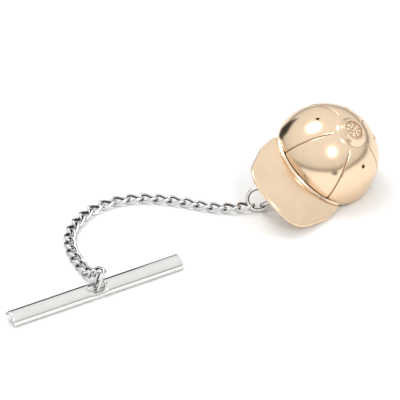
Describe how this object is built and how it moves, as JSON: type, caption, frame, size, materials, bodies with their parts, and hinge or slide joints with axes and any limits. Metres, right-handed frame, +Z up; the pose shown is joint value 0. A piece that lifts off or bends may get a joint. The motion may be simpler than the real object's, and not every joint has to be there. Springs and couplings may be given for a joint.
{
  "type": "tie tack",
  "caption": "Tie tack: a small cap-shaped ornament on a post with a ball clutch, and a fine curb chain that ends in a half-round toggle bar.",
  "frame": {"origin": "middle of the footprint, on the table the tie tack lies on", "axes": "+Z up from the table, +X along the longer side of the lying tack, from the toggle bar to the cap"},
  "size_m": [0.0491, 0.0405, 0.0119],
  "materials": {
    "gold": "polished, pale rose gold plate",
    "silver": "polished silver",
    "steel": "spring steel, hidden in the clutch"
  },
  "bodies": {
    "cap": {"crown": "gold", "bill": "gold", "top_button": "gold", "mounting_plate": "gold", "post": "gold"},
    "spring": {"cage_spring": "steel"},
    "clutch": {"clutch_drum": "silver", "clutch_cover": "silver", "wedge_cone": "silver", "chain_eye": "silver"},
    "cage": {"ball_cage": "silver", "lock_balls": "steel"},
    "ring_1": {"cap_end_ring_1": "silver"},
    "ring_2": {"cap_end_ring_2": "silver"},
    "link_01": {"chain_link_01": "silver"},
    "link_02": {"chain_link_02": "silver"},
    "link_03": {"chain_link_03": "silver"},
    "link_04": {"chain_link_04": "silver"},
    "link_05": {"chain_link_05": "silver"},
    "link_06": {"chain_link_06": "silver"},
    "link_07": {"chain_link_07": "silver"},
    "link_08": {"chain_link_08": "silver"},
    "link_09": {"chain_link_09": "silver"},
    "link_10": {"chain_link_10": "silver"},
    "link_11": {"chain_link_11": "silver"},
    "link_12": {"chain_link_12": "silver"},
    "link_13": {"chain_link_13": "silver"},
    "link_14": {"chain_link_14": "silver"},
    "link_15": {"chain_link_15": "silver"},
    "link_16": {"chain_link_16": "silver"},
    "link_17": {"chain_link_17": "silver"},
    "link_18": {"chain_link_18": "silver"},
    "link_19": {"chain_link_19": "silver"},
    "link_20": {"chain_link_20": "silver"},
    "link_21": {"chain_link_21": "silver"},
    "link_22": {"chain_link_22": "silver"},
    "link_23": {"chain_link_23": "silver"},
    "bar_end": {"bar_end_link": "silver"},
    "bar": {"toggle_bar": "silver", "bridge_wire": "silver"}
  },
  "joints": [
    {"name": "clutch_slide", "type": "slide", "parent": "cap", "child": "spring", "axis": [-0.474, 0.3851, -0.7919], "range_m": [0, 0.01]},
    {"name": "clutch_spin", "type": "hinge", "parent": "spring", "child": "clutch", "pos_m": [0.01661, 0.01272, 0.00441], "axis": [0.474, -0.3851, 0.7919], "continuous": true},
    {"name": "knob_pull", "type": "slide", "parent": "clutch", "child": "cage", "axis": [-0.474, 0.3851, -0.7919], "range_m": [0, 0.0006], "stiffness_N_per_m": 400, "springref_m": -0.001, "deforming": ["cage_spring"]},
    {"name": "ring_1_swing", "type": "hinge", "parent": "clutch", "child": "ring_1", "pos_m": [0.01199, 0.008, 0.0022], "axis": [0.6921, -0.393, -0.6054], "range_deg": [-36, 4]},
    {"name": "ring_2_swing", "type": "hinge", "parent": "ring_1", "child": "ring_2", "pos_m": [0.00852, 0.00722, 0.0008], "axis": [-0.0248, -0.8446, 0.5349], "range_deg": [-45, 45]},
    {"name": "link_01_swing", "type": "hinge", "parent": "ring_2", "child": "link_01", "pos_m": [0.00727, 0.00721, 0.00079], "axis": [0.7071, -0.3851, -0.593], "range_deg": [-2, 30]},
    {"name": "link_02_bend", "type": "hinge", "parent": "link_01", "child": "link_02", "pos_m": [0.00539, 0.00688, 0.0007], "axis": [0, 0, 1], "range_deg": [-15, 33]},
    {"name": "link_03_bend", "type": "hinge", "parent": "link_02", "child": "link_03", "pos_m": [0.00348, 0.00685, 0.00061], "axis": [0, 0, -1], "range_deg": [-36, 12]},
    {"name": "link_04_bend", "type": "hinge", "parent": "link_03", "child": "link_04", "pos_m": [0.00161, 0.00721, 0.00053], "axis": [0, 0, 1], "range_deg": [-16, 32]},
    {"name": "link_05_bend", "type": "hinge", "parent": "link_04", "child": "link_05", "pos_m": [-0.0002, 0.00783, 0.00053], "axis": [0, 0, -1], "range_deg": [-24, 24]},
    {"name": "link_06_bend", "type": "hinge", "parent": "link_05", "child": "link_06", "pos_m": [-0.002, 0.00846, 0.00053], "axis": [0, 0, 1], "range_deg": [-28, 20]},
    {"name": "link_07_bend", "type": "hinge", "parent": "link_06", "child": "link_07", "pos_m": [-0.00385, 0.00895, 0.00053], "axis": [0, 0, -1], "range_deg": [-19, 29]},
    {"name": "link_08_bend", "type": "hinge", "parent": "link_07", "child": "link_08", "pos_m": [-0.00573, 0.00928, 0.00053], "axis": [0, 0, 1], "range_deg": [-31, 17]},
    {"name": "link_09_bend", "type": "hinge", "parent": "link_08", "child": "link_09", "pos_m": [-0.00764, 0.00938, 0.00053], "axis": [0, 0, -1], "range_deg": [-14, 34]},
    {"name": "link_10_bend", "type": "hinge", "parent": "link_09", "child": "link_10", "pos_m": [-0.00953, 0.00915, 0.00053], "axis": [0, 0, 1], "range_deg": [-35, 13]},
    {"name": "link_11_bend", "type": "hinge", "parent": "link_10", "child": "link_11", "pos_m": [-0.01135, 0.00856, 0.00053], "axis": [0, 0, -1], "range_deg": [-11, 37]},
    {"name": "link_12_bend", "type": "hinge", "parent": "link_11", "child": "link_12", "pos_m": [-0.01298, 0.00758, 0.00053], "axis": [0, 0, 1], "range_deg": [-36, 12]},
    {"name": "link_13_bend", "type": "hinge", "parent": "link_12", "child": "link_13", "pos_m": [-0.01438, 0.00627, 0.00053], "axis": [0, 0, -1], "range_deg": [-11, 37]},
    {"name": "link_14_bend", "type": "hinge", "parent": "link_13", "child": "link_14", "pos_m": [-0.01545, 0.00469, 0.00053], "axis": [0, 0, 1], "range_deg": [-32, 16]},
    {"name": "link_15_bend", "type": "hinge", "parent": "link_14", "child": "link_15", "pos_m": [-0.01629, 0.00297, 0.00053], "axis": [0, 0, -1], "range_deg": [-16, 32]},
    {"name": "link_16_bend", "type": "hinge", "parent": "link_15", "child": "link_16", "pos_m": [-0.01688, 0.00116, 0.00053], "axis": [0, 0, 1], "range_deg": [-39, 9]},
    {"name": "link_17_bend", "type": "hinge", "parent": "link_16", "child": "link_17", "pos_m": [-0.01698, -0.00075, 0.00053], "axis": [0, 0, -1], "range_deg": [-13, 35]},
    {"name": "link_18_bend", "type": "hinge", "parent": "link_17", "child": "link_18", "pos_m": [-0.01671, -0.00264, 0.00053], "axis": [0, 0, 1], "range_deg": [-31, 17]},
    {"name": "link_19_bend", "type": "hinge", "parent": "link_18", "child": "link_19", "pos_m": [-0.01622, -0.00449, 0.00053], "axis": [0, 0, -1], "range_deg": [-17, 31]},
    {"name": "link_20_bend", "type": "hinge", "parent": "link_19", "child": "link_20", "pos_m": [-0.0155, -0.00626, 0.00053], "axis": [0, 0, 1], "range_deg": [-27, 21]},
    {"name": "link_21_bend", "type": "hinge", "parent": "link_20", "child": "link_21", "pos_m": [-0.01469, -0.00799, 0.00053], "axis": [0, 0, -1], "range_deg": [-23, 25]},
    {"name": "link_22_bend", "type": "hinge", "parent": "link_21", "child": "link_22", "pos_m": [-0.01391, -0.00959, 0.00121], "axis": [0, 0, 1], "range_deg": [-25, 23]},
    {"name": "link_23_bend", "type": "hinge", "parent": "link_22", "child": "link_23", "pos_m": [-0.01322, -0.01094, 0.00237], "axis": [0, 0, -1], "range_deg": [-22, 26]},
    {"name": "bar_end_swing", "type": "hinge", "parent": "link_23", "child": "bar_end", "pos_m": [-0.01234, -0.01254, 0.00349], "axis": [0.8715, 0.1577, -0.4644], "range_deg": [-45, 15]},
    {"name": "bar_tilt", "type": "hinge", "parent": "bar_end", "child": "bar", "pos_m": [-0.01313, -0.01284, 0.00109], "axis": [-0.491, 0.8012, 0.342], "range_deg": [-11, 42]}
  ]
}
